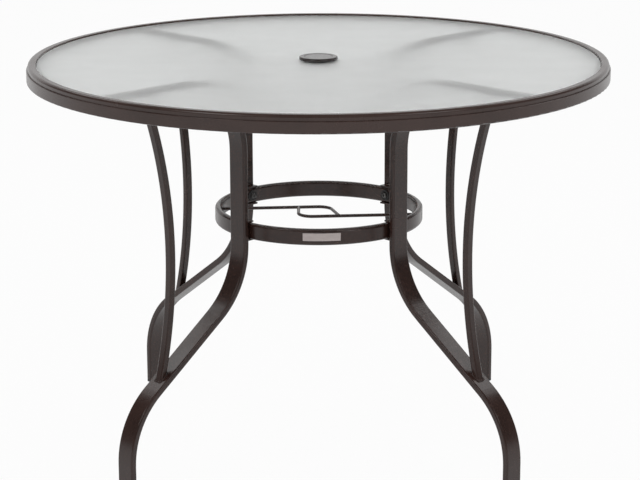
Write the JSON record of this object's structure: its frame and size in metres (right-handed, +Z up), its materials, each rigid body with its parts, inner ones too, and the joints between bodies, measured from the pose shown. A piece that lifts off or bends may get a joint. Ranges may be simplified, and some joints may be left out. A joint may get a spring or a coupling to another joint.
{
  "type": "umbrella table",
  "caption": "Round patio table with a loose frosted glass top in a tubular metal rim, an umbrella hole with a cap, S-bent legs with bowed braces and a middle ring with pole guide wires.",
  "frame": {"origin": "on the floor, under the middle of the table", "axes": "+Z up through the umbrella hole, -Y towards the front with the label plate, legs on the diagonals"},
  "size_m": [1.067, 1.067, 0.7385],
  "materials": {
    "powder_coat": "dark brown powder coat, satin",
    "frosted_glass": "obscure, frosted on the under side",
    "brown_plastic": "moulded, satin",
    "glide_plastic": "moulded, matt",
    "clear_vinyl": "soft clear discs",
    "zinc_steel": "zinc plated",
    "black_steel": "steel, dark zinc coating",
    "black_rubber": "matt",
    "label_film": "pale, blank"
  },
  "bodies": {
    "frame": {"table_rim": "powder_coat", "middle_ring": "powder_coat", "glass_pads": "clear_vinyl", "plate_bolts": "zinc_steel", "plate_washers": "zinc_steel", "ring_bolts": "black_steel", "ring_washers": "black_rubber", "rim_weld_nuts": "zinc_steel", "leg_weld_nuts": "zinc_steel", "pole_guide_left": "powder_coat", "pole_guide_right": "powder_coat", "label_plate": "label_film", "leg_front_left": "powder_coat", "brace_front_left": "powder_coat", "end_plate_front_left": "powder_coat", "ring_bracket_front_left": "powder_coat", "foot_glide_front_left": "glide_plastic", "leg_front_right": "powder_coat", "brace_front_right": "powder_coat", "end_plate_front_right": "powder_coat", "ring_bracket_front_right": "powder_coat", "foot_glide_front_right": "glide_plastic", "leg_back_right": "powder_coat", "brace_back_right": "powder_coat", "end_plate_back_right": "powder_coat", "ring_bracket_back_right": "powder_coat", "foot_glide_back_right": "glide_plastic", "leg_back_left": "powder_coat", "brace_back_left": "powder_coat", "end_plate_back_left": "powder_coat", "ring_bracket_back_left": "powder_coat", "foot_glide_back_left": "glide_plastic"},
    "tabletop": {"glass_top": "frosted_glass", "umbrella_ring": "brown_plastic", "umbrella_ring_collar": "brown_plastic"},
    "cap": {"umbrella_ring_cap": "brown_plastic"}
  },
  "joints": [
    {"name": "tabletop_lift", "type": "slide", "parent": "frame", "child": "tabletop", "axis": [0, 0, 1], "range_m": [0, 0.12]},
    {"name": "cap_lift", "type": "slide", "parent": "tabletop", "child": "cap", "axis": [0, 0, 1], "range_m": [0, 0.06]}
  ]
}
